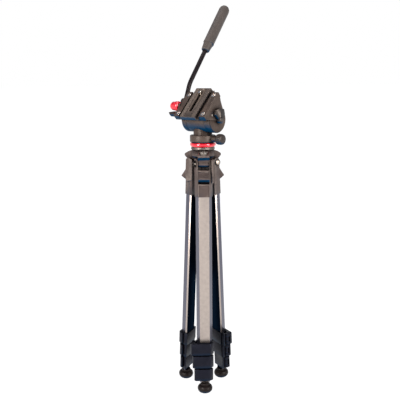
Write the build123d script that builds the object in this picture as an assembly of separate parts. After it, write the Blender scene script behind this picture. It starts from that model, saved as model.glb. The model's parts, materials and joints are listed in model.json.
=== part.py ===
from build123d import *
import os
from math import cos, hypot, radians, sin, tan

# A folding video tripod with a fluid-style pan and tilt head, folded and standing on its feet.
# Row frame: +Z up, origin on the floor under the centre column, the front leg towards -Y. Millimetres.

# Driving dimensions: legs
LEG_AZIMUTHS = (-90.0, 150.0, 30.0)
PIVOT_RADIUS = 22.6
PIVOT_HEIGHT = 470.4
SPLAY = 2.65
TUBE_WIDTH = 32.0
TUBE_DEPTH = 15.5
OUTER_FLAT_SHARE = 0.63
SIDE_SHARE = 0.26
TUBE_WALL = 1.1
TUBE_GAP = 0.4
SECTION_STEP = TUBE_WALL + TUBE_GAP

# Leg stations, measured along the leg from its pivot, downwards negative
TUBE_TOPS = (-44.0, -46.0, -50.0, -54.0)
COLLAR_TOPS = (-362.2, -389.0, -417.4)
COLLAR_BOTTOM = -445.2
LEVER_TOPS = (-363.4, -390.3, -418.8)
LEVER_BOTTOMS = (-386.9, -415.0, -443.1)
FERRULE_BOTTOM = -450.6
FOOT_CENTRE = -461.2
HINGE_REACH = (29.1, 25.5, 22.0)
LEVER_REACH = (18.1, 17.7, 16.8)

# Leg top casting
CASTING_SKIN = 1.6
CASTING_BOTTOM = -64.7
CLEVIS_HALF = 11.4
TONGUE_HALF = 11.1
BARREL_RADIUS = 7.0
BOLT_RADIUS = 2.5
WINDOW_BOTTOM = -39.4
COVER_OUTER = 19.4
COVER_BOTTOM = -37.0
SLIDER_TOP = -12.0
SLIDER_TIP = (19.3, -28.2)
SLIDER_BOTTOM = -35.0

# Centre column and the stack above the spider
COLUMN_RADIUS = 11.0
COLUMN_BOTTOM = 245.0
SPIDER_TOP = 495.4
COLLAR_RING_TOP = 501.8
PLATE_BOTTOM = 502.2
PLATE_TOP = 509.9
PAN_BOTTOM = 511.4
PAN_TOP = 524.5
LEVEL_REACH = 27.5
LEVEL_BASE = 488.0
LEVEL_RADIUS = 7.55
PAN_KNOB_HEIGHT = 518.2
PAN_KNOB_START = 36.5
DISC_RADIUS = 25.6
RUNNING = 0.05

# Head
HEAD_AZIMUTH = -42.3
TILT_HEIGHT = 555.0
TILT_ANGLE = 46.3
DRUM_RADIUS = 25.0
DRUM_HALF = 22.4
CHEEK_RIGHT = 36.2
CHEEK_LEFT = 33.0
CHEEK_FACE = 39.4
RAIL_TOP = 36.3
RAIL_FRONT = -24.0
RAIL_REAR = 38.0
RAIL_OUTER = 38.0
RAIL_INNER = 25.0
RAIL_FLOOR = 30.0
LIP_BOTTOM = 32.0
LIP_TOP = 33.2
SCREW_X = 30.75
SCREW_Y = 23.35
PLATE_FRONT = -27.9
PLATE_REAR = 45.8
PLATE_SURFACE = 39.2
PLATE_HALF = 18.5
PLATE_FOOT = (30.4, 31.7)
PAD_EDGES = (9.4, 17.9)
SLOT_FRONT = -14.6
STUD_Y = 31.8
STUD_RADIUS = 3.175
STUD_SHOULDER = 39.6
STUD_TOP = 43.6
SIDE_SCREW = (-5.6, 20.4)
KNOB_PLACE = (4.0, 32.3)
RELEASE_PIVOT = (-41.0, 24.9)
HANDLE_X = -46.4
HANDLE_START = (24.0, 21.2)
HANDLE_RADIUS = 4.5
GRIP_RADIUS = 11.0
ROD_RUN = 110.0
GRIP_RUN = 81.0

RAIL_MID = (RAIL_FRONT + RAIL_REAR) / 2


def xz_prism(points, y_low, y_high):
    """A polygon in X and Z, extruded along Y between two values."""
    face = Plane.XZ * make_face(Polyline(*points, close=True).edges())
    return extrude(face, amount=y_high - y_low, dir=(0, 1, 0)).translate((0, y_low, 0))


def yz_prism(points, x_low, x_high):
    """A polygon in Y and Z, extruded along X between two values."""
    face = Plane.YZ * make_face(Polyline(*points, close=True).edges())
    return extrude(face, amount=x_high - x_low, dir=(1, 0, 0)).translate((x_low, 0, 0))


def xy_prism(points, z_low, z_high):
    """A polygon in X and Y, extruded up between two heights."""
    face = make_face(Polyline(*points, close=True).edges())
    return extrude(face, amount=z_high - z_low, dir=(0, 0, 1)).translate((0, 0, z_low))


def block(x_low, x_high, y_low, y_high, z_low, z_high):
    centre = ((x_low + x_high) / 2, (y_low + y_high) / 2, (z_low + z_high) / 2)
    return Pos(*centre) * Box(x_high - x_low, y_high - y_low, z_high - z_low)


def rod_z(radius, z_low, z_high, x=0.0, y=0.0):
    return Pos(x, y, (z_low + z_high) / 2) * Cylinder(radius, z_high - z_low)


def rod_x(radius, x_low, x_high, y=0.0, z=0.0):
    return Pos((x_low + x_high) / 2, y, z) * Rot(0, 90, 0) * Cylinder(radius, x_high - x_low)


def rod_y(radius, y_low, y_high, x=0.0, z=0.0):
    return Pos(x, (y_low + y_high) / 2, z) * Rot(90, 0, 0) * Cylinder(radius, y_high - y_low)


def turned(points):
    """A lathe shape about Z from radius and height pairs."""
    outline = Polyline(*[(r, 0, z) for r, z in points], close=True)
    return revolve(make_face(outline.edges()), axis=Axis.Z)


def along_x(shape, sign, x):
    """Lays a shape turned about Z on the X axis, its foot at x and its nose pointing along sign."""
    return Pos(x, 0, 0) * Rot(0, 90 * sign, 0) * shape


# --- legs, in the leg's own frame: pivot at the origin, X outwards, Z up along the leg ---


def section(inset, z_low, z_high):
    """A solid bar with the D outline of the leg tubes, its faces moved in by inset."""
    half, depth = TUBE_WIDTH / 2, TUBE_DEPTH / 2
    run = TUBE_DEPTH * (1 - SIDE_SHARE)
    drop = half * (1 - OUTER_FLAT_SHARE)
    slope = hypot(run, drop)
    nx, ny = drop / slope, run / slope
    slant = nx * depth + ny * half * OUTER_FLAT_SHARE - inset
    side, front = half - inset, depth - inset
    shoulder = (slant - ny * side) / nx
    flat = (slant - nx * front) / ny
    if shoulder > 1.4 - front:
        right = [(front, flat), (shoulder, side), (-front, side)]
    else:
        right = [(front, flat), (-front, (slant + nx * front) / ny)]
    left = [(x, -y) for x, y in reversed(right)]
    outline = make_face(Polyline(*left, *right, close=True).edges())
    rounded = fillet(outline.vertices(), 0.6)
    return extrude(rounded, amount=z_high - z_low, dir=(0, 0, 1)).translate((0, 0, z_low))


def leg_tube(k):
    inset = k * SECTION_STEP
    low = (COLLAR_TOPS[k] - 9.0) if k < 3 else FERRULE_BOTTOM
    outer = section(inset, low, TUBE_TOPS[k])
    if k == 3:
        return outer - section(inset + TUBE_WALL, low + 6.0, TUBE_TOPS[k] + 1)
    return outer - section(inset + TUBE_WALL, low - 1, TUBE_TOPS[k] + 1)


def hinge_pin_place(k):
    """The lock lever's pin, in the leg's X and Y."""
    return 2.0, -(HINGE_REACH[k] - 4.6)


def lock_collar(k):
    """The clamp at a tube's foot: it grips that tube and guides the next one."""
    top = COLLAR_TOPS[k]
    bottom = (COLLAR_TOPS[k + 1] + 0.3) if k < 2 else COLLAR_BOTTOM
    inset = k * SECTION_STEP
    half = TUBE_WIDTH / 2 - inset
    pin_x, pin_y = hinge_pin_place(k)
    body = section(inset - CASTING_SKIN, bottom, top)
    web_low, web_high = LEVER_BOTTOMS[k] + 6.4, LEVER_TOPS[k] - 6.4
    web = block(-2.0, 5.6, pin_y, -half + 2.0, web_low, web_high)
    knuckle = rod_z(4.0, web_low, web_high, pin_x, pin_y)
    rear_guard = block(-6.5, -2.9, pin_y - 1.0, -half + 2.0, bottom, top)
    body = body + web + knuckle + rear_guard
    body -= section(inset, top - 9.0, top + 1)
    body -= section(inset + TUBE_WALL, bottom - 1, top)
    body -= rod_z(1.5, bottom - 1, top + 1, pin_x, pin_y)
    pin = rod_z(1.5, LEVER_BOTTOMS[k], LEVER_TOPS[k], pin_x, pin_y)
    return Compound([body.solid(), pin])


def lock_lever(k):
    """The flip lever: a shell over the collar's outer face, on two ears about the pin."""
    top, bottom = LEVER_TOPS[k], LEVER_BOTTOMS[k]
    inset = k * SECTION_STEP
    half = TUBE_WIDTH / 2 - inset
    depth = TUBE_DEPTH / 2 - inset
    reach, right = HINGE_REACH[k], LEVER_REACH[k]
    front = depth + CASTING_SKIN + 4.2
    pin_x, pin_y = hinge_pin_place(k)
    outline = [
        (6.4, -reach),
        (front - 3.4, -reach + 0.4),
        (front - 1.0, -reach + 1.8),
        (front, -reach + 4.8),
        (front, half * OUTER_FLAT_SHARE),
        (front - 1.2, half * OUTER_FLAT_SHARE + 2.6),
        (4.4, right - 0.4),
        (2.6, right),
        (1.2, right - 2.2),
        (1.2, 0.0),
        (6.4, -half + 2.0),
    ]
    shell = xy_prism(outline, bottom, top)
    shell -= section(inset - CASTING_SKIN - 0.5, bottom - 1, top + 1)
    ear_join = block(pin_x, 7.4, pin_y - 4.2, pin_y + 4.2, bottom, top)
    ears = ear_join + rod_z(4.2, bottom, top, pin_x, pin_y)
    shell += ears
    shell -= block(-4.0, 6.6, pin_y - 6.0, -half + 6.0, bottom + 6.0, top - 6.0)
    shell -= rod_z(1.5 + RUNNING, bottom - 1, top + 1, pin_x, pin_y)
    return shell.solid()


def rubber_foot():
    """A ball foot on the last section, cut flat where it meets the floor."""
    top, low = FERRULE_BOTTOM - FOOT_CENTRE, -11.0
    profile = [(0, top), (8.6, top), (9.4, top - 1.0), (9.6, 6.4)]
    outline = Polyline(*[(r, 0, z) for r, z in profile])
    bulge = [(9.6, 6.4), (13.8, 3.6), (15.3, -1.0), (13.4, -6.4), (8.0, -9.9), (0, low)]
    ball = Spline(*[(r, 0, z) for r, z in bulge])
    close = Line((0, 0, low), (0, 0, top))
    foot = revolve(make_face([*outline.edges(), ball.edge(), close.edge()]), axis=Axis.Z)
    foot = foot.translate((0, 0, FOOT_CENTRE))
    return foot - rod_z(5.0, FERRULE_BOTTOM - 4.0, FERRULE_BOTTOM + 1.0)


def leg_casting():
    """The clevis at the leg's head, with a socket for the upper tube, a slider window and a cover over the nut."""
    outer = section(-CASTING_SKIN, CASTING_BOTTOM, 12.0)
    depth = TUBE_DEPTH / 2 + CASTING_SKIN
    side = block(-depth, depth, -30, 30, CASTING_BOTTOM, 0) + rod_y(depth, -30, 30)
    cover_outline = [(-depth, 12), (-depth, COVER_BOTTOM + 2.0), (5.0, COVER_BOTTOM - 1.0), (6.2, -20.0), (6.2, 12)]
    cover = xz_prism(cover_outline, TUBE_WIDTH / 2 - 1.0, COVER_OUTER)
    cover = chamfer(cover.faces().sort_by(Axis.Y)[-1].edges(), 0.8)
    casting = (outer + cover) & side
    casting -= block(-20, 20, -CLEVIS_HALF, CLEVIS_HALF, -13.0, 20)
    window = block(-3.0, 20, -CLEVIS_HALF, CLEVIS_HALF, WINDOW_BOTTOM, -12.0)
    casting -= fillet(window.edges().filter_by(Axis.X).group_by(Axis.Z)[0], 2.6)
    casting -= block(depth - 0.8, 20, -9.8, 9.8, CASTING_BOTTOM - 1, WINDOW_BOTTOM - 2.6)
    casting -= section(-0.05, CASTING_BOTTOM - 1, TUBE_TOPS[0])
    casting -= section(TUBE_WALL, TUBE_TOPS[0] - 1, TUBE_TOPS[0] + 2.0)
    casting -= rod_y(BOLT_RADIUS + RUNNING, -30, TUBE_WIDTH / 2)
    return casting.solid()


def angle_slider():
    """The ribbed catch in the casting's window, pulled out to free the leg's angle stops."""
    tip_x, tip_z = SLIDER_TIP
    face_top = (10.0, SLIDER_TOP - 2.0)
    wedge = [
        (-2.6, SLIDER_TOP), (8.6, SLIDER_TOP), face_top, SLIDER_TIP, (tip_x - 0.4, tip_z - 1.4),
        (12.6, SLIDER_BOTTOM + 1.6), (9.4, SLIDER_BOTTOM), (-2.6, SLIDER_BOTTOM),
    ]
    half = CLEVIS_HALF - 0.4
    body = xz_prism(wedge, -half, half)
    slope = (tip_x - face_top[0]) / (face_top[1] - tip_z)
    for i in range(5):
        z = face_top[1] - 2.4 - 2.3 * i
        x = face_top[0] + slope * (face_top[1] - z)
        body -= block(x - 0.6, x + 3, -half - 1, half + 1, z - 0.45, z + 0.45)
    return body.solid()


def place_leg(shape, azimuth):
    return Rot(0, 0, azimuth) * Pos(PIVOT_RADIUS, 0, PIVOT_HEIGHT) * Rot(0, -SPLAY, 0) * shape


# --- spider, column and the rings above it ---


def spider():
    """The three-lobed top casting with a hinge tongue for each leg and the column's guide."""
    rim = [(0, 481.0), (20.0, 481.0), (23.0, 484.0), (23.0, 489.0), (19.0, SPIDER_TOP), (0, SPIDER_TOP)]
    hub = turned(rim)
    guide = rod_z(14.4, 463.0, 482.0)
    threaded_neck = rod_z(14.0, SPIDER_TOP - 1, COLLAR_RING_TOP - 1.2)
    body = hub + guide + threaded_neck
    reach = 35.2
    for azimuth in LEG_AZIMUTHS:
        low = PIVOT_HEIGHT + 10.4
        tongue = xz_prism(
            [(10, 464.4), (PIVOT_RADIUS, PIVOT_HEIGHT - BARREL_RADIUS + 1), (PIVOT_RADIUS + 5.8, PIVOT_HEIGHT),
             (PIVOT_RADIUS + 6.4, low - 3), (reach - 3.0, low), (reach, low + 3.0), (reach, 487.6),
             (27.0, 492.4), (18.0, SPIDER_TOP), (10, SPIDER_TOP)],
            -TONGUE_HALF, TONGUE_HALF)
        tongue += rod_y(BARREL_RADIUS, -TONGUE_HALF, TONGUE_HALF, PIVOT_RADIUS, PIVOT_HEIGHT)
        groove_x = PIVOT_RADIUS + BARREL_RADIUS
        tongue -= block(groove_x - 1.0, groove_x + 2, -30, 30, PIVOT_HEIGHT + 1.2, PIVOT_HEIGHT + 2.2)
        tongue -= rod_y(BOLT_RADIUS, -30, 30, PIVOT_RADIUS, PIVOT_HEIGHT)
        body += Rot(0, 0, azimuth) * tongue
    body -= rod_z(COLUMN_RADIUS + RUNNING, 400, 600)
    body -= Rot(0, 0, LEG_AZIMUTHS[0]) * rod_z(LEVEL_RADIUS + RUNNING, LEVEL_BASE, 520, LEVEL_REACH, 0)
    return body.solid()


def bubble_level():
    """The round level on the front lobe: a rimmed housing with its domed vial."""
    rim = LEVEL_RADIUS - 1.6
    top = 6.6
    profile = [(0, 0), (LEVEL_RADIUS, 0), (LEVEL_RADIUS, top - 1.2), (LEVEL_RADIUS - 0.6, top), (rim, top)]
    profile += [(rim - 0.3, top - 0.8), (3.0, top - 0.3), (0, top - 0.2)]
    level = turned(profile).translate((0, 0, LEVEL_BASE))
    return Rot(0, 0, LEG_AZIMUTHS[0]) * Pos(LEVEL_REACH, 0, 0) * level


def pivot_bolts():
    """One bolt through each leg's clevis, with a washer and a round head on its open side."""
    bolts = []
    outer = TUBE_WIDTH / 2 + CASTING_SKIN
    for azimuth in LEG_AZIMUTHS:
        bolt = rod_y(BOLT_RADIUS, -outer - 0.5, TUBE_WIDTH / 2 - 0.4)
        bolt += rod_y(6.2, -outer - 1.0, -outer - 0.3)
        bolt += rod_y(4.6, -outer - 2.6, -outer - 1.0)
        bolts.append((Rot(0, 0, azimuth) * Pos(PIVOT_RADIUS, 0, PIVOT_HEIGHT) * bolt).solid())
    return Compound(bolts)


def centre_column():
    tube = rod_z(COLUMN_RADIUS, COLUMN_BOTTOM, PLATE_BOTTOM)
    return tube - rod_z(COLUMN_RADIUS - 1.6, COLUMN_BOTTOM + 4.0, PLATE_BOTTOM + 1)


def column_lock_collar():
    """The knurled ring that squeezes the column when it is turned."""
    low, top = SPIDER_TOP + 0.6, COLLAR_RING_TOP
    bore, lip_low = COLUMN_RADIUS + RUNNING, COLLAR_RING_TOP - 0.8
    ring = turned([(14.3, low), (22.2, low), (23.4, low + 1.6), (22.8, top), (14.3, top)])
    ring += turned([(bore, lip_low), (15.0, lip_low), (15.0, top), (bore, top)])
    for i in range(36):
        ring -= Rot(0, 0, 10 * i) * rod_z(0.6, SPIDER_TOP, COLLAR_RING_TOP + 1, 23.5, 0)
    return ring.solid()


def column_top_plate():
    """The anodised plate on the column, with the head's threaded stud."""
    disc = turned([(0, PLATE_BOTTOM), (23.4, PLATE_BOTTOM), (25.4, PLATE_BOTTOM + 2.4), (25.9, PLATE_BOTTOM + 4.5),
                   (25.4, PLATE_TOP - 1.4), (24.4, PLATE_TOP), (0, PLATE_TOP)])
    stud = rod_z(4.76, PLATE_TOP - 1, 519.0)
    spigot = rod_z(COLUMN_RADIUS - 1.65, PLATE_BOTTOM - 12.0, PLATE_BOTTOM + 1)
    return (disc + stud + spigot).solid()


# --- head below the tilt axis, in the head's frame: X along the tilt axis, -Y to the front ---


def pan_base():
    """The turning base disc with its saddle for the drum."""
    disc = turned([(0, PLATE_TOP + 0.3), (21.5, PLATE_TOP + 0.3), (21.5, PAN_BOTTOM), (24.8, PAN_BOTTOM),
                   (DISC_RADIUS, PAN_BOTTOM + 0.8), (DISC_RADIUS, PAN_TOP - 1.2), (24.8, PAN_TOP), (0, PAN_TOP)])
    disc -= turned([(22.0, PAN_TOP - 0.6), (23.4, PAN_TOP - 0.6), (23.4, PAN_TOP + 1), (22.0, PAN_TOP + 1)])
    neck = rod_z(18.4, PAN_TOP - 1, TILT_HEIGHT - 10.0)
    body = disc + neck
    body -= rod_x(DRUM_RADIUS, -60, 60, 0, TILT_HEIGHT)
    body -= rod_z(4.86, 500, 519.4)
    body += rod_x(6.2, 18.0, PAN_KNOB_START - 0.4, 0, PAN_KNOB_HEIGHT)
    body -= rod_x(3.0 + RUNNING, 12.0, 40.0, 0, PAN_KNOB_HEIGHT)
    return body.solid()


def pan_lock_knob():
    """The fluted knob that locks the pan."""
    knob = turned([(0, 0), (7.6, 0), (9.8, 1.6), (10.4, 3.6), (10.4, 10.6), (9.4, 13.2), (7.2, 14.4), (0, 14.4)])
    for i in range(12):
        knob -= Rot(0, 0, 30 * i) * rod_z(1.3, 2.6, 12.4, 11.0, 0)
    knob += rod_z(3.0, -16.0, 1.0)
    return Pos(0, 0, PAN_KNOB_HEIGHT) * along_x(knob, 1, PAN_KNOB_START)


def tilt_drum():
    """The fixed middle of the tilt drum, bored for its axle."""
    drum = rod_x(DRUM_RADIUS, -DRUM_HALF, DRUM_HALF, 0, TILT_HEIGHT)
    return drum - rod_x(6.0, -40, 40, 0, TILT_HEIGHT)


def tilt_axle():
    return rod_x(6.0, -CHEEK_LEFT + 1.0, CHEEK_RIGHT - 1.0, 0, TILT_HEIGHT)


# --- head above the tilt axis, level and centred on that axis: X along it, -Y to the front ---


def cheek_outline():
    """The cheek's contour in Y and Z: full behind the axis, cut away in front of it."""
    top = [(RAIL_FRONT, RAIL_TOP), (RAIL_REAR, RAIL_TOP), (RAIL_REAR - 0.6, RAIL_TOP - 5)]
    rear = [(30.6, 20.0), (26.0, 9.0), (22.0, -1.0), (12.0, -9.0), (2.0, -9.0)]
    return top + rear + [(-1.4, 0.0), (RAIL_FRONT, 28.6)]


def tilt_cradle():
    """Two cheeks on the axle, joined by the platform with its plate channel."""
    inner = DRUM_HALF + 0.3
    rim = cheek_outline()
    body = yz_prism(rim, inner, CHEEK_FACE) + yz_prism(rim, -CHEEK_LEFT, -inner)
    body += rod_x(DRUM_RADIUS, inner, CHEEK_RIGHT) + rod_x(DRUM_RADIUS, -CHEEK_LEFT, -inner)
    body += block(-RAIL_OUTER, RAIL_OUTER, RAIL_FRONT, RAIL_REAR, 25.4, RAIL_TOP)
    body -= rod_x(DRUM_RADIUS + 0.4, -inner, inner)
    body -= rod_x(6.0 + RUNNING, -CHEEK_LEFT + 0.9, CHEEK_RIGHT - 0.9)
    front, rear = RAIL_FRONT - 1, RAIL_REAR + 1
    body -= block(-RAIL_INNER, RAIL_INNER, front, rear, LIP_TOP, 50)
    body -= block(-23.4, 23.4, front, rear, RAIL_FLOOR, LIP_BOTTOM)
    body -= block(-PLATE_HALF - 0.6, PLATE_HALF + 0.6, front, rear, LIP_BOTTOM - 1, 50)
    body += rod_x(8.4, -41.2, -31.0, *HANDLE_START)
    body -= rod_x(2.6, -42.0, -34.0, *HANDLE_START)
    body += rod_x(6.0, -RAIL_OUTER - 3.0, -RAIL_OUTER + 1, *KNOB_PLACE)
    body -= rod_x(2.5 + RUNNING, -RAIL_OUTER - 4.0, -26.0, *KNOB_PLACE)
    body -= rod_x(3.0 + RUNNING, CHEEK_RIGHT, CHEEK_FACE + 1)
    body -= rod_x(2.6, CHEEK_FACE - 1.0, CHEEK_FACE + 1, *SIDE_SCREW)
    for x in (-SCREW_X, SCREW_X):
        for y in (RAIL_MID - SCREW_Y, RAIL_MID + SCREW_Y):
            body -= rod_z(4.5, RAIL_TOP - 1.2, RAIL_TOP + 1, x, y)
            body -= rod_z(2.0, RAIL_TOP - 7.0, RAIL_TOP, x, y)
    return body.solid()


def platform_screws():
    """Four socket screws in the rails and a smaller one in the right cheek."""
    screws = []
    for x in (-SCREW_X, SCREW_X):
        for y in (RAIL_MID - SCREW_Y, RAIL_MID + SCREW_Y):
            screw = rod_z(4.3, RAIL_TOP - 1.2, RAIL_TOP - 0.1, x, y)
            screw += rod_z(1.95, RAIL_TOP - 6.8, RAIL_TOP - 1.0, x, y)
            socket = extrude(RegularPolygon(1.7, 6), amount=2).translate((x, y, RAIL_TOP - 1.0))
            screws.append((screw - socket).solid())
    screws.append(rod_x(2.2, CHEEK_FACE - 1.0, CHEEK_FACE + 0.3, *SIDE_SCREW).solid())
    return Compound(screws)


def end_caps():
    """The right end's thin disc, stopping at the cheek, and the left end's stepped cap."""
    right = along_x(turned([(0, 0), (24.4, 0), (24.4, 0.9), (23.6, 1.6), (0, 1.6)]), 1, CHEEK_RIGHT)
    right -= yz_prism(cheek_outline(), CHEEK_RIGHT - 1, CHEEK_FACE + 1)
    right -= rod_x(3.0 + RUNNING, CHEEK_RIGHT - 1, CHEEK_FACE)
    left = along_x(turned([(0, 0), (23.2, 0), (21.4, 3.4), (16.0, 4.6), (0, 4.6)]), -1, -CHEEK_LEFT)
    return Compound([right.solid(), left.solid()])


def tilt_lock_lever():
    """The winged lever on the right end that clamps the tilt."""
    base = CHEEK_FACE + 1.0
    boss = along_x(turned([(0, 0), (6.6, 0), (6.2, 7.2), (4.6, 8.4), (0, 8.4)]), 1, CHEEK_FACE + 0.3)
    wing = [(-3.0, 4.0), (-3.6, 20.0), (4.0, 22.6), (14.0, 17.6), (20.6, 8.6), (16.0, 1.0), (4.0, -5.0)]
    face = make_face(Polyline(*wing, close=True).edges())
    face = fillet(face.vertices().filter_by(lambda v: v.X ** 2 + v.Y ** 2 > 150), 3.0)
    blade = extrude(Plane.YZ * face, amount=6.4, dir=(1, 0, 0)).translate((base, 0, 0))
    spindle = rod_x(3.0, CHEEK_RIGHT + 0.2, base)
    return (boss + blade + spindle).solid()


def quick_release_plate():
    """The sliding plate: dovetail foot, ribbed sides and a slot for the camera screw."""
    low, foot_top = PLATE_FOOT
    top = block(-PLATE_HALF, PLATE_HALF, PLATE_FRONT, PLATE_REAR, low, PLATE_SURFACE)
    foot = block(-23.0, 23.0, PLATE_FRONT, PLATE_REAR, low, foot_top)
    plate = chamfer((top + foot).faces().sort_by(Axis.Z)[-1].edges(), 0.6)
    for i in range(29):
        y = PLATE_FRONT + 3.2 + 2.4 * i
        for sign in (-1, 1):
            x = sign * PLATE_HALF
            plate -= block(x - 0.45, x + 0.45, y - 0.6, y + 0.6, LIP_BOTTOM, PLATE_SURFACE - 0.9)
    slot = block(-3.4, 3.4, SLOT_FRONT + 3.4, STUD_Y, 20, 50)
    slot += rod_z(3.4, 20, 50, 0, SLOT_FRONT + 3.4) + rod_z(3.4, 20, 50, 0, STUD_Y)
    under = block(-7.6, 7.6, SLOT_FRONT - 1.0, STUD_Y + 7.6, low - 1, low + 4.6)
    plate = plate - slot - under
    for sign in (-1, 1):
        near, far = sorted(sign * edge for edge in PAD_EDGES)
        plate -= block(near, far, PLATE_FRONT + 1.0, PLATE_REAR - 1.0, PLATE_SURFACE - 0.8, PLATE_SURFACE + 1)
    return plate.solid()


def plate_grip_pads():
    """Two non-slip strips let into the plate: the left one with slanting ribs, the right one smooth."""
    strips = []
    for sign in (-1, 1):
        near, far = sorted(sign * edge for edge in PAD_EDGES)
        strips.append(block(near, far, PLATE_FRONT + 1.0, PLATE_REAR - 1.0, PLATE_SURFACE - 0.8, PLATE_SURFACE + 0.25))
    left, right = strips
    middle = -sum(PAD_EDGES) / 2
    for i in range(30):
        y = PLATE_FRONT + 1.6 + 2.42 * i
        groove = Rot(0, 0, -36) * Box(16.0, 0.9, 0.6)
        left -= Pos(middle, y, PLATE_SURFACE + 0.25) * groove
    return Compound([left.solid(), right.solid()])


def camera_screw():
    """The captive quarter-inch screw: a slotted head, a slimmer shank through the slot and the plain stud."""
    y = STUD_Y - 0.3
    head_low = PLATE_FOOT[0] + 0.5
    body = rod_z(7.0, head_low, head_low + 3.6, 0, y)
    body += rod_z(2.6, head_low + 3.0, STUD_SHOULDER + 0.5, 0, y)
    body += rod_z(STUD_RADIUS, STUD_SHOULDER, STUD_TOP, 0, y)
    return (body - block(-8, 8, y - 0.6, y + 0.6, head_low - 1, head_low + 1.2)).solid()


def plate_lock_knob():
    """The red stepped knob on the left rail that clamps the plate."""
    profile = [(0, 0), (7.0, 0), (8.6, 1.0), (9.5, 3.0), (9.5, 8.4), (8.5, 9.6), (8.8, 11.0), (8.6, 16.4)]
    knob = turned(profile + [(6.8, 19.8), (3.4, 21.4), (0, 21.6)])
    for i in range(24):
        knob -= Rot(0, 0, 15 * i) * rod_z(0.55, 2.0, 9.4, 9.7, 0)
    spindle = rod_z(2.5, -11.0, 1.0)
    y, z = KNOB_PLACE
    return Pos(0, y, z) * along_x(knob + spindle, -1, -RAIL_OUTER - 3.4)


def handle_path():
    """The handle's centre line in Y and Z: a short rising run, one bend, then the long run to the grip."""
    first, second = 23.0, 6.8
    start = Vector(0, *HANDLE_START)
    corner = start + Vector(0, cos(radians(first)), sin(radians(first))) * 39.6
    direction = Vector(0, cos(radians(second)), sin(radians(second)))
    return start, corner, direction, first, second


def handle_rod():
    start, corner, direction, first, second = handle_path()
    first_dir = (corner - start).normalized()
    trim = 60.0 * tan(radians((first - second) / 2))
    a = corner - first_dir * trim
    b = corner + direction * trim
    end = corner + direction * ROD_RUN
    arc = TangentArc(a, b, tangent=first_dir)
    path = Wire([Line(start, a), arc, Line(b, end)])
    rod = sweep(Plane(start, z_dir=first_dir) * Circle(HANDLE_RADIUS), path=path)
    rod = rod.translate((HANDLE_X, 0, 0))
    rosette = rod_x(8.2, HANDLE_X - 5.6, -41.5, *HANDLE_START)
    spindle = rod_x(2.55, -42.0, -35.0, *HANDLE_START)
    return (rod + rosette + spindle).solid()


def handle_grip():
    """The moulded grip: a stepped tapered collar, a long barrel and a domed end."""
    _, corner, direction, _, _ = handle_path()
    collar = [(0, 0), (7.4, 0), (8.4, 1.6), (10.0, 17.0), (11.2, 18.2), (11.2, 20.4), (GRIP_RADIUS, 21.4)]
    end = [(GRIP_RADIUS, 104.0), (9.9, 108.4), (7.4, 112.0), (4.0, 114.2), (0, 115.0)]
    grip = turned(collar + end)
    grip -= rod_z(HANDLE_RADIUS, -1, ROD_RUN - GRIP_RUN)
    place = Plane(corner + direction * GRIP_RUN + Vector(HANDLE_X, 0, 0), x_dir=(1, 0, 0), z_dir=direction)
    return (place.location * grip).solid()


def plate_release_lever():
    """The flat thumb lever under the knob that lets the plate out."""
    x, z = RELEASE_PIVOT
    arm = [(-14.0, z - 3.4), (-3.0, z - 3.4), (-3.0, z - 0.2), (-9.0, z + 3.4), (-14.0, z + 3.4)]
    paddle = yz_prism(arm, -65.0, -38.6)
    nose = [(-60, -15), (-66, -15), (-66, -6.5), (-65.2, -9.5)]
    paddle -= xy_prism(nose, z - 9, z + 9)
    tail = [(-54.0, -2.0), (-66, -2.0), (-66, -8.6)]
    paddle -= xy_prism(tail, z - 9, z + 9)
    return (paddle + rod_y(1.5, -12.0, -5.0, x, z)).solid()


def place_head(shape):
    return Rot(0, 0, HEAD_AZIMUTH) * shape


def place_tilted(shape):
    return Rot(0, 0, HEAD_AZIMUTH) * Pos(0, 0, TILT_HEIGHT) * Rot(TILT_ANGLE, 0, 0) * shape


def leg_parts(number, azimuth):
    """Every node of one leg, with the foot cut flat at the floor."""
    floor_block = block(-400, 400, -400, 400, -60, 0)
    parts = {
        f"leg_{number}_casting": place_leg(leg_casting(), azimuth),
        f"leg_{number}_angle_slider": place_leg(angle_slider(), azimuth),
        f"leg_{number}_foot": (place_leg(rubber_foot(), azimuth) - floor_block).solid(),
    }
    for k in range(4):
        parts[f"leg_{number}_tube_{k + 1}"] = place_leg(leg_tube(k), azimuth)
    for k in range(3):
        parts[f"leg_{number}_lock_{k + 1}"] = place_leg(lock_collar(k), azimuth)
        parts[f"leg_{number}_lever_{k + 1}"] = place_leg(lock_lever(k), azimuth)
    return parts


nodes = {
    "spider": spider(),
    "bubble_level": bubble_level(),
    "leg_pivot_bolts": pivot_bolts(),
    "centre_column": centre_column(),
    "column_lock_collar": column_lock_collar(),
    "column_top_plate": column_top_plate(),
    "pan_base": place_head(pan_base()),
    "pan_lock_knob": place_head(pan_lock_knob()),
    "tilt_drum": place_head(tilt_drum()),
    "tilt_axle": place_head(tilt_axle()),
    "tilt_cradle": place_tilted(tilt_cradle()),
    "platform_screws": place_tilted(platform_screws()),
    "end_caps": place_tilted(end_caps()),
    "tilt_lock_lever": place_tilted(tilt_lock_lever()),
    "quick_release_plate": place_tilted(quick_release_plate()),
    "plate_grip_pads": place_tilted(plate_grip_pads()),
    "camera_screw": place_tilted(camera_screw()),
    "plate_lock_knob": place_tilted(plate_lock_knob()),
    "plate_release_lever": place_tilted(plate_release_lever()),
    "handle_rod": place_tilted(handle_rod()),
    "handle_grip": place_tilted(handle_grip()),
}
for number, azimuth in enumerate(LEG_AZIMUTHS, start=1):
    nodes.update(leg_parts(number, azimuth))

os.makedirs("parts", exist_ok=True)
for name, shape in nodes.items():
    export_step(shape, f"parts/{name}.step")
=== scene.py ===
import json
import math

import bmesh
import bpy
from mathutils import Matrix, Vector

# A folded video tripod with a pan and tilt head. Metres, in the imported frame: +Z up, front leg towards -Y.

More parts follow.
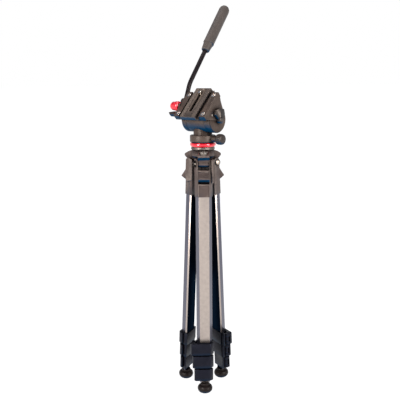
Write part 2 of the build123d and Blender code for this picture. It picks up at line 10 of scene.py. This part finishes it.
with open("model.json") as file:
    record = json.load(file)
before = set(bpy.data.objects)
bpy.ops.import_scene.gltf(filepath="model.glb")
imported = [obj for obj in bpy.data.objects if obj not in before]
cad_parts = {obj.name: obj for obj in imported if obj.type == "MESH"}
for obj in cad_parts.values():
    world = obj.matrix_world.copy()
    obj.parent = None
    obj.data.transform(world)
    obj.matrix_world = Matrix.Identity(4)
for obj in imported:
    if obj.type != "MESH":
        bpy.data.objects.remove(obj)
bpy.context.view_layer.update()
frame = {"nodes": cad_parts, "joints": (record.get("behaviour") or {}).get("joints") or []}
NODES = frame["nodes"]
JOINTS = {joint["name"]: joint for joint in frame["joints"]}
MM = 0.001
LEGS = (1, 2, 3)


# --- places read from the frame ---


def joint_place(name):
    return Vector(JOINTS[name]["pos_m"])


def joint_axis(name):
    return Vector(JOINTS[name]["axis"]).normalized()


class LegFrame:
    """One leg's own directions: out (away from the column), side and up along the leg, from its pivot."""

    def __init__(self, number):
        self.pivot = joint_place(f"leg_{number}_hinge")
        self.up = -joint_axis(f"leg_{number}_extend_2")
        self.side = -joint_axis(f"leg_{number}_hinge")
        self.out = self.side.cross(self.up).normalized()


LEG_FRAMES = {number: LegFrame(number) for number in LEGS}
HEAD_CENTRE = joint_place("tilt")
TILT_AXIS = joint_axis("tilt")


# --- shader helpers ---


def new_material(name):
    material = bpy.data.materials.new(name)
    material.use_nodes = True
    tree = material.node_tree
    tree.nodes.clear()
    output = tree.nodes.new("ShaderNodeOutputMaterial")
    shader = tree.nodes.new("ShaderNodeBsdfPrincipled")
    tree.links.new(shader.outputs["BSDF"], output.inputs["Surface"])
    return material, tree, shader


def feed(tree, socket, value):
    """Links a socket from another socket, or sets it to a value. A colour may come without its alpha."""
    if isinstance(value, bpy.types.NodeSocket):
        tree.links.new(value, socket)
    elif socket.type == "RGBA":
        socket.default_value = (*value[:3], 1.0)
    else:
        socket.default_value = value


def add(tree, kind, **inputs):
    """A node of that kind, with its named sockets fed."""
    node = tree.nodes.new(kind)
    for name, value in inputs.items():
        feed(tree, node.inputs[name.replace("_", " ")], value)
    return node


def math_node(tree, operation, a, b=0.0):
    node = tree.nodes.new("ShaderNodeMath")
    node.operation = operation
    feed(tree, node.inputs[0], a)
    feed(tree, node.inputs[1], b)
    return node.outputs[0]


def vector_math(tree, operation, vector, other=(0, 0, 0)):
    node = tree.nodes.new("ShaderNodeVectorMath")
    node.operation = operation
    feed(tree, node.inputs[0], vector)
    node.inputs[1].default_value = other
    return node


def dot(tree, vector, direction):
    return vector_math(tree, "DOT_PRODUCT", vector, direction).outputs["Value"]


def ramp(tree, factor, stops):
    node = tree.nodes.new("ShaderNodeValToRGB")
    tree.links.new(factor, node.inputs["Fac"])
    elements = node.color_ramp.elements
    while len(elements) < len(stops):
        elements.new(0.5)
    for element, (position, colour) in zip(elements, stops):
        element.position = position
        element.color = (*colour, 1.0)
    return node.outputs["Color"]


def spread(tree, factor, low, high):
    """A 0 to 1 value mapped onto low to high."""
    node = add(tree, "ShaderNodeMapRange", Value=factor)
    node.inputs["To Min"].default_value = low
    node.inputs["To Max"].default_value = high
    return node.outputs["Result"]


def object_coordinates(tree):
    return tree.nodes.new("ShaderNodeTexCoord").outputs["Object"]


def stretched(tree, axes_scales):
    """Coordinates along given directions, each with its own scale."""
    place = object_coordinates(tree)
    parts = [math_node(tree, "MULTIPLY", dot(tree, place, axis), scale) for axis, scale in axes_scales]
    node = tree.nodes.new("ShaderNodeCombineXYZ")
    for socket, part in zip(node.inputs, parts):
        tree.links.new(part, socket)
    return node.outputs["Vector"]


def noise(tree, vector, scale, detail=3.0, roughness=0.5):
    node = add(tree, "ShaderNodeTexNoise", Vector=vector, Scale=scale, Detail=detail, Roughness=roughness)
    return node.outputs["Fac"]


def bump(tree, shader, height, strength, distance):
    node = add(tree, "ShaderNodeBump", Height=height, Strength=strength, Distance=distance)
    tree.links.new(node.outputs["Normal"], shader.inputs["Normal"])


def mix_colour(tree, factor, a, b):
    node = tree.nodes.new("ShaderNodeMix")
    node.data_type = "RGBA"
    factor_socket, colour_a, colour_b = node.inputs[0], node.inputs[6], node.inputs[7]
    feed(tree, factor_socket, factor)
    feed(tree, colour_a, a)
    feed(tree, colour_b, b)
    return node.outputs[2]


def ramp_value(tree, factor, low, high):
    """0 below low, 1 above high, for a single value."""
    node = add(tree, "ShaderNodeMapRange", Value=factor)
    node.inputs["From Min"].default_value = low
    node.inputs["From Max"].default_value = high
    return node.outputs["Result"]


def scaled(colour, factor):
    return tuple(factor * channel for channel in colour)


# --- materials ---

WHITE = (1.0, 1.0, 1.0)
# Painted shade: near black laid into grooves and gaps, where little light gets in.
PAINTED_GAP_SHADE = (0.001, 0.001, 0.002)
# Painted light: a deep blue tone and low gloss on faces that look down, standing in for blue light from
# below.
PAINTED_UNDERLIGHT = (0.0, 0.022, 0.058)
PAINTED_UNDERLIGHT_GLOSS = 0.05
PAINTED_UNDERLIGHT_STARTS, PAINTED_UNDERLIGHT_FULL = 0.12, 0.6
FINE_RELIEF = 0.05 * MM
COARSE_RELIEF = 0.1 * MM
PLASTIC_RELIEF = 0.08 * MM


def painted_shade_openness(tree, reach, power):
    """1 on open faces, towards 0 in grooves and gaps, where little light gets in: the mask for painted
    shade.
    """
    node = tree.nodes.new("ShaderNodeAmbientOcclusion")
    node.samples = 8
    node.inputs["Distance"].default_value = reach
    return math_node(tree, "POWER", node.outputs["AO"], power)


def paint_gap_shade_and_underlight(tree, shader, colour, gloss, reach=9 * MM, power=1.6):
    """Base colour and gloss, with painted shade darkening grooves and gaps and a painted deep blue light on
    undersides.
    """
    unshaded_part = painted_shade_openness(tree, reach, power)
    normal = tree.nodes.new("ShaderNodeNewGeometry").outputs["Normal"]
    # Painted light: the further a face looks down, the more of the deep blue tone it takes.
    underlight_mask = ramp_value(tree, dot(tree, normal, (0, 0, -1)), PAINTED_UNDERLIGHT_STARTS, PAINTED_UNDERLIGHT_FULL)
    cast = mix_colour(tree, underlight_mask, colour, PAINTED_UNDERLIGHT)
    # Painted shade: grooves and gaps fade to near black, and the gloss below fades there too.
    tree.links.new(mix_colour(tree, unshaded_part, PAINTED_GAP_SHADE, cast), shader.inputs["Base Color"])
    level = math_node(tree, "MULTIPLY", unshaded_part, spread(tree, underlight_mask, gloss, PAINTED_UNDERLIGHT_GLOSS))
    tree.links.new(level, shader.inputs["Specular IOR Level"])


def powder_coat(name, colour, roughness=0.42, gloss=0.4, edge_wear_and_highlight=(0.17, 0.14, 0.125)):
    """Black textured coating on alloy: fine grain, faint mottling, paler edges of rubbed wear, which on the
    lever are bright enough to be a painted highlight too.
    """
    material, tree, shader = new_material(name)
    place = object_coordinates(tree)
    fine = noise(tree, place, 1300.0, 2.0)
    broad = noise(tree, place, 60.0, 4.0)
    body = ramp(tree, broad, [(0.3, scaled(colour, 0.78)), (0.7, scaled(colour, 1.22))])
    edge = tree.nodes.new("ShaderNodeNewGeometry").outputs["Pointiness"]
    patches = noise(tree, place, 240.0, 3.0)
    # Paler edges: rubbed wear, and where the edge colour is bright, a painted highlight.
    edge_wear_and_highlight_mask = math_node(tree, "MULTIPLY", ramp_value(tree, edge, 0.53, 0.62), patches)
    paint_gap_shade_and_underlight(tree, shader, mix_colour(tree, edge_wear_and_highlight_mask, body, edge_wear_and_highlight), gloss)
    tree.links.new(spread(tree, fine, roughness - 0.08, roughness + 0.1), shader.inputs["Roughness"])
    shader.inputs["Specular Tint"].default_value = (1.0, 0.94, 0.9, 1.0)
    bump(tree, shader, fine, 0.3, COARSE_RELIEF)
    return material


TUBE_FLAT = (0.44, 0.38, 0.345)
# Painted shade: the bevels are the same anodising as the flat, coloured darker and bluer for the light they
# miss.
TUBE_BEVEL_PAINTED_SHADE = (0.13, 0.13, 0.165)
TUBE_INNER = (0.002, 0.006, 0.014)


def leg_metal(number):
    """Satin anodising with drawing lines along the tube, painted shade on the bevels, darker and bluer than
    the flat, and a black inner face.
    """
    leg = LEG_FRAMES[number]
    material, tree, shader = new_material(f"leg_{number}_anodised")
    drawn = stretched(tree, [(leg.side, 1.0), (leg.up, 0.012), (leg.out, 1.0)])
    lines = noise(tree, drawn, 1500.0, 3.0, 0.6)
    soft = noise(tree, object_coordinates(tree), 160.0, 2.0)
    silver = ramp(tree, soft, [(0.25, scaled(TUBE_FLAT, 0.92)), (0.75, scaled(TUBE_FLAT, 1.08))])
    normal = tree.nodes.new("ShaderNodeTexCoord").outputs["Normal"]
    outward = dot(tree, normal, leg.out)
    sideways = math_node(tree, "ABSOLUTE", dot(tree, normal, leg.side))
    off_front = ramp_value(tree, outward, 0.96, 0.86)
    off_side = ramp_value(tree, sideways, 0.985, 0.93)
    bevel = math_node(tree, "MULTIPLY", off_front, off_side)
    inner = ramp_value(tree, math_node(tree, "MULTIPLY", outward, -1.0), 0.5, 0.7)
    # Painted shade on the bevels.
    shaded = mix_colour(tree, bevel, silver, TUBE_BEVEL_PAINTED_SHADE)
    tree.links.new(mix_colour(tree, inner, shaded, TUBE_INNER), shader.inputs["Base Color"])
    tree.links.new(math_node(tree, "SUBTRACT", 1.0, inner), shader.inputs["Metallic"])
    tree.links.new(spread(tree, lines, 0.3, 0.44), shader.inputs["Roughness"])
    shader.inputs["Specular IOR Level"].default_value = 0.0
    bump(tree, shader, lines, 0.12, FINE_RELIEF)
    return material


def bright_metal(name, colour, roughness=0.2):
    """Plated steel with faint turning marks."""
    material, tree, shader = new_material(name)
    place = object_coordinates(tree)
    marks = noise(tree, place, 900.0, 4.0)
    tone = ramp(tree, marks, [(0.3, scaled(colour, 0.8)), (0.7, colour)])
    tree.links.new(tone, shader.inputs["Base Color"])
    tree.links.new(spread(tree, marks, roughness - 0.05, roughness + 0.12), shader.inputs["Roughness"])
    shader.inputs["Metallic"].default_value = 1.0
    bump(tree, shader, marks, 0.08, FINE_RELIEF)
    return material


SOCKET_EDGE, RIM_START = 3.7 * MM, 4.3 * MM
FAR_OFF = 1.0
BLACK_OXIDE = (0.012, 0.010, 0.010)


def bolt_steel():
    """Bright socket heads in a black-oxide rim: the tone follows the distance from each leg's pivot line."""
    material, tree, shader = new_material("pivot_bolt_steel")
    place = object_coordinates(tree)
    marks = noise(tree, place, 900.0, 4.0)
    distance = FAR_OFF
    for leg in LEG_FRAMES.values():
        arm = vector_math(tree, "SUBTRACT", place, leg.pivot).outputs[0]
        crossed = vector_math(tree, "CROSS_PRODUCT", arm, leg.side).outputs[0]
        from_this_bolt = vector_math(tree, "LENGTH", crossed).outputs["Value"]
        distance = math_node(tree, "MINIMUM", distance, from_this_bolt)
    rim = ramp_value(tree, distance, SOCKET_EDGE, RIM_START)
    steel = ramp(tree, marks, [(0.3, (0.42, 0.35, 0.30)), (0.7, (0.56, 0.48, 0.41))])
    tree.links.new(mix_colour(tree, rim, steel, BLACK_OXIDE), shader.inputs["Base Color"])
    tree.links.new(spread(tree, marks, 0.22, 0.4), shader.inputs["Roughness"])
    tree.links.new(math_node(tree, "SUBTRACT", 1.0, rim), shader.inputs["Metallic"])
    shader.inputs["Specular IOR Level"].default_value = 0.2
    bump(tree, shader, marks, 0.1, FINE_RELIEF)
    return material


def anodised(name, colour, roughness=0.2):
    """Coloured anodising on turned alloy: a metal tint under fine turned rings and a clear seal."""
    material, tree, shader = new_material(name)
    place = object_coordinates(tree)
    turned = stretched(tree, [((1, 0, 0), 0.15), ((0, 1, 0), 0.15), ((0, 0, 1), 1.0)])
    rings = noise(tree, turned, 2600.0, 2.0)
    cloud = noise(tree, place, 120.0, 3.0)
    tint = ramp(tree, cloud, [(0.3, scaled(colour, 0.8)), (0.75, colour)])
    tree.links.new(tint, shader.inputs["Base Color"])
    tree.links.new(spread(tree, rings, roughness - 0.06, roughness + 0.1), shader.inputs["Roughness"])
    shader.inputs["Metallic"].default_value = 0.55
    shader.inputs["Coat Weight"].default_value = 1.0
    shader.inputs["Coat Roughness"].default_value = 0.1
    bump(tree, shader, rings, 0.06, FINE_RELIEF)
    return material


def moulded_plastic(name, colour, roughness=0.42, gloss=0.3, sheen=(0.6, 0.7, 1.0)):
    """Spark-textured plastic: small pits, tinted highlights and a little dust in the tone."""
    material, tree, shader = new_material(name)
    place = object_coordinates(tree)
    pits = add(tree, "ShaderNodeTexVoronoi", Vector=place, Scale=900.0).outputs["Distance"]
    cloud = noise(tree, place, 90.0, 4.0)
    tone = ramp(tree, cloud, [(0.3, scaled(colour, 0.75)), (0.75, scaled(colour, 1.35))])
    paint_gap_shade_and_underlight(tree, shader, tone, gloss, 6 * MM)
    tree.links.new(spread(tree, cloud, roughness - 0.06, roughness + 0.08), shader.inputs["Roughness"])
    shader.inputs["Specular Tint"].default_value = (*sheen, 1.0)
    bump(tree, shader, pits, 0.25, PLASTIC_RELIEF)
    return material


def rubber(name, colour, bloom_gain=2.0, roughness=0.5, gloss=0.35, sheen=0.1):
    """Rubber with a dusty bloom and a fine open grain."""
    material, tree, shader = new_material(name)
    place = object_coordinates(tree)
    grain = noise(tree, place, 1100.0, 5.0, 0.65)
    bloom = noise(tree, place, 45.0, 5.0, 0.6)
    tone = ramp(tree, bloom, [(0.35, colour), (0.8, scaled(colour, bloom_gain))])
    paint_gap_shade_and_underlight(tree, shader, tone, gloss, 6 * MM)
    tree.links.new(spread(tree, bloom, roughness, roughness + 0.16), shader.inputs["Roughness"])
    shader.inputs["Sheen Weight"].default_value = sheen
    shader.inputs["Sheen Roughness"].default_value = 0.5
    bump(tree, shader, grain, 0.35, COARSE_RELIEF)
    return material


PAD_CHANGE = 2 * MM


def pad_rubber():
    """The plate's two rubber pads: the left one paler with painted light, as it faces the light, the right
    one near the plate's tone.
    """
    material, tree, shader = new_material("pad_rubber")
    place = object_coordinates(tree)
    across = dot(tree, place, TILT_AXIS)
    middle = HEAD_CENTRE.dot(TILT_AXIS)
    right = ramp_value(tree, across, middle - PAD_CHANGE, middle + PAD_CHANGE)
    bloom = noise(tree, place, 90.0, 4.0, 0.6)
    # Painted light: the left pad's paler tone stands for light falling on that side.
    painted_lit_left_tone = ramp(tree, bloom, [(0.3, (0.095, 0.075, 0.063)), (0.75, (0.125, 0.100, 0.085))])
    right_tone = ramp(tree, bloom, [(0.3, (0.048, 0.037, 0.031)), (0.75, (0.066, 0.051, 0.043))])
    tone = mix_colour(tree, right, painted_lit_left_tone, right_tone)
    paint_gap_shade_and_underlight(tree, shader, tone, gloss=0.25, reach=2 * MM, power=1.4)
    tree.links.new(spread(tree, bloom, 0.5, 0.66), shader.inputs["Roughness"])
    bump(tree, shader, noise(tree, place, 1400.0, 3.0), 0.3, PLASTIC_RELIEF)
    return material


def clear_vial():
    """The level's tinted vial under a thin clear lens, dark in its seat and mottled very slightly."""
    material, tree, shader = new_material("level_vial")
    cloud = noise(tree, object_coordinates(tree), 300.0, 2.0)
    liquid = ramp(tree, cloud, [(0.3, (0.055, 0.046, 0.038)), (0.7, (0.085, 0.070, 0.058))])
    tree.links.new(liquid, shader.inputs["Base Color"])
    tree.links.new(spread(tree, cloud, 0.25, 0.35), shader.inputs["Roughness"])
    shader.inputs["Coat Weight"].default_value = 0.25
    bump(tree, shader, cloud, 0.05, FINE_RELIEF)
    return material


FLOOR_GLOW = 0.97


def paper_floor():
    """White studio paper, lit from beneath like a light table."""
    material, tree, shader = new_material("floor_paper")
    grain = noise(tree, object_coordinates(tree), 8.0, 3.0)
    paper = ramp(tree, grain, [(0.3, (0.12, 0.12, 0.12)), (0.7, (0.14, 0.14, 0.14))])
    tree.links.new(paper, shader.inputs["Base Color"])
    tree.links.new(spread(tree, grain, 0.88, 0.95), shader.inputs["Roughness"])
    shader.inputs["Specular IOR Level"].default_value = 0.1
    shader.inputs["Emission Color"].default_value = (*WHITE, 1.0)
    shader.inputs["Emission Strength"].default_value = FLOOR_GLOW
    return material


MATERIALS = {
    "casting": powder_coat("casting_black", (0.047, 0.033, 0.030), gloss=0.34),
    "head": powder_coat("head_black", (0.043, 0.030, 0.024), roughness=0.4, gloss=0.22),
    "plate": powder_coat("plate_black", (0.062, 0.047, 0.038), roughness=0.38, gloss=0.3),
    "grey": bright_metal("grey_alloy", (0.13, 0.11, 0.10), roughness=0.42),
    "steel": bright_metal("bright_steel", (0.90, 0.80, 0.70)),
    "bolt": bolt_steel(),
    "red": anodised("red_anodised", (0.85, 0.02, 0.04)),
    "lock": moulded_plastic("lock_nylon", (0.0035, 0.003, 0.005), gloss=0.2),
    "knob": moulded_plastic("knob_plastic", (0.022, 0.017, 0.015), sheen=(1.0, 0.92, 0.88)),
    # Painted highlight: the lever's bright edge colour stands for light catching its edges, as well as wear.
    "lever": powder_coat("lever_black", (0.009, 0.007, 0.007), roughness=0.36, edge_wear_and_highlight=(0.34, 0.28, 0.24)),
    "grip": rubber("grip_rubber", (0.030, 0.024, 0.021)),
    "foot": rubber(
        "foot_rubber", (0.006, 0.0035, 0.003), bloom_gain=1.5, roughness=0.36, gloss=0.16, sheen=0.0
    ),
    "strip": pad_rubber(),
    "rod": powder_coat("rod_black", (0.007, 0.005, 0.006), roughness=0.36, gloss=0.14),
    "vial": clear_vial(),
}

FINISH = {
    "spider": "casting", "bubble_level": "vial", "leg_pivot_bolts": "bolt", "centre_column": "grey",
    "column_lock_collar": "grey", "column_top_plate": "red", "pan_base": "head", "pan_lock_knob": "knob",
    "tilt_drum": "head", "tilt_axle": "steel", "tilt_cradle": "head", "platform_screws": "steel",
    "end_caps": "head", "tilt_lock_lever": "lever", "quick_release_plate": "plate",
    "plate_grip_pads": "strip", "camera_screw": "steel", "plate_lock_knob": "red",
    "plate_release_lever": "knob", "handle_rod": "rod", "handle_grip": "grip",
}

FINE_EDGE = 0.35 * MM
SOFT_EDGES = {"lock_nylon": 0.8 * MM, "casting_black": 0.6 * MM, "head_black": 0.5 * MM}
SAME_PLACE = 0.005 * MM
SHARP_ANGLE = 38


def material_for(name, leg_metals):
    """The material of one CAD node. What isn't listed in FINISH belongs to a leg."""
    if name in FINISH:
        return MATERIALS[FINISH[name]]
    if "_tube_" in name:
        return leg_metals[int(name.split("_")[1])]
    if name.endswith("_foot"):
        return MATERIALS["foot"]
    if name.endswith(("_casting", "_slider")):
        return MATERIALS["casting"]
    return MATERIALS["lock"]


def soften(piece, width):
    """Welds split vertices, rounds the sharp edges a little and evens out the shading."""
    weld = piece.modifiers.new("weld", "WELD")
    weld.merge_threshold = SAME_PLACE
    bevel = piece.modifiers.new("bevel", "BEVEL")
    bevel.width = width
    bevel.segments = 2
    bevel.limit_method = "ANGLE"
    bevel.angle_limit = math.radians(SHARP_ANGLE)
    bevel.use_clamp_overlap = True
    bevel.harden_normals = True
    for polygon in piece.data.polygons:
        polygon.use_smooth = True


def finish_nodes():
    """Gives every CAD node its material, soft edges and smooth shading."""
    leg_metals = {number: leg_metal(number) for number in LEGS}
    for name, node in NODES.items():
        material = material_for(name, leg_metals)
        node.data.materials.clear()
        node.data.materials.append(material)
        soften(node, SOFT_EDGES.get(material.name, FINE_EDGE))


finish_nodes()


# --- studio ---

SENSOR = 36.0
LENS = 54.0
CAMERA_BACK = 1.1808
CAMERA_SIDE = 0.0317
CAMERA_HEIGHT = 0.630
CAMERA_PITCH = 11.3
CAMERA_YAW = 1.814
STANCE_TURN = 3.89
FLOOR_REACH = 60.0
HORIZON_TOP, CEILING_START = 0.2, 0.45
CEILING = (0.16, 0.20, 0.28)

# Each light: name, place, aim, width and height in metres, watts, colour.
LIGHTS = (
    ("key", (-1.05, -1.05, 0.85), (0, 0, 0.42), 0.36, 1.0, 34.0, (1.0, 0.93, 0.87)),
    ("fill", (1.05, -1.05, 0.85), (0, 0, 0.42), 0.36, 1.0, 28.0, (1.0, 0.94, 0.89)),
    ("top", (-0.2, 0.3, 2.2), (0, 0, 0.5), 0.9, 0.9, 10.0, (1.0, 0.96, 0.93)),
)


def make_camera():
    """The camera: in front, looking slightly down, and swung round the tripod by STANCE_TURN degrees."""
    camera = bpy.data.objects.new("camera", bpy.data.cameras.new("camera"))
    bpy.context.scene.collection.objects.link(camera)
    camera.data.lens = LENS
    camera.data.sensor_width = SENSOR
    pitch, yaw = math.radians(CAMERA_PITCH), math.radians(CAMERA_YAW)
    ahead = Vector((0, math.cos(pitch), -math.sin(pitch)))
    above = Vector((0, math.sin(pitch), math.cos(pitch)))
    right = Vector((1, 0, 0))
    turned_ahead = math.cos(yaw) * ahead - math.sin(yaw) * right
    turned_right = math.cos(yaw) * right + math.sin(yaw) * ahead
    turned = Matrix((turned_right, above, -turned_ahead)).transposed().to_4x4()
    place = Matrix.Translation(Vector((CAMERA_SIDE, -CAMERA_BACK, CAMERA_HEIGHT)))
    camera.matrix_world = Matrix.Rotation(math.radians(-STANCE_TURN), 4, "Z") @ place @ turned
    bpy.context.scene.camera = camera


def area_light(name, place, aim, width, height, power, colour):
    """A softbox. It isn't seen itself, so that it stays out of the picture from every side."""
    light = bpy.data.objects.new(name, bpy.data.lights.new(name, "AREA"))
    bpy.context.scene.collection.objects.link(light)
    light.data.shape = "RECTANGLE"
    light.data.size = width
    light.data.size_y = height
    light.data.energy = power
    light.data.color = colour
    light.location = place
    light.rotation_euler = (Vector(aim) - Vector(place)).to_track_quat("-Z", "Y").to_euler()
    light.visible_camera = False


def studio_world():
    """White all round at eye height, fading to a dim blue-grey ceiling."""
    world = bpy.data.worlds.new("studio")
    world.use_nodes = True
    tree = world.node_tree
    direction = tree.nodes.new("ShaderNodeTexCoord").outputs["Generated"]
    overhead = ramp_value(tree, dot(tree, direction, (0, 0, 1)), HORIZON_TOP, CEILING_START)
    background = tree.nodes["Background"]
    tree.links.new(mix_colour(tree, overhead, WHITE, CEILING), background.inputs["Color"])
    background.inputs["Strength"].default_value = 1.0
    bpy.context.scene.world = world


def make_studio():
    floor_mesh = bpy.data.meshes.new("floor")
    mesh = bmesh.new()
    bmesh.ops.create_grid(mesh, x_segments=8, y_segments=8, size=FLOOR_REACH)
    mesh.to_mesh(floor_mesh)
    mesh.free()
    floor = bpy.data.objects.new("floor", floor_mesh)
    bpy.context.scene.collection.objects.link(floor)
    floor_mesh.materials.append(paper_floor())
    studio_world()
    for light in LIGHTS:
        area_light(*light)


make_camera()
make_studio()
bpy.context.scene.view_settings.view_transform = "Standard"
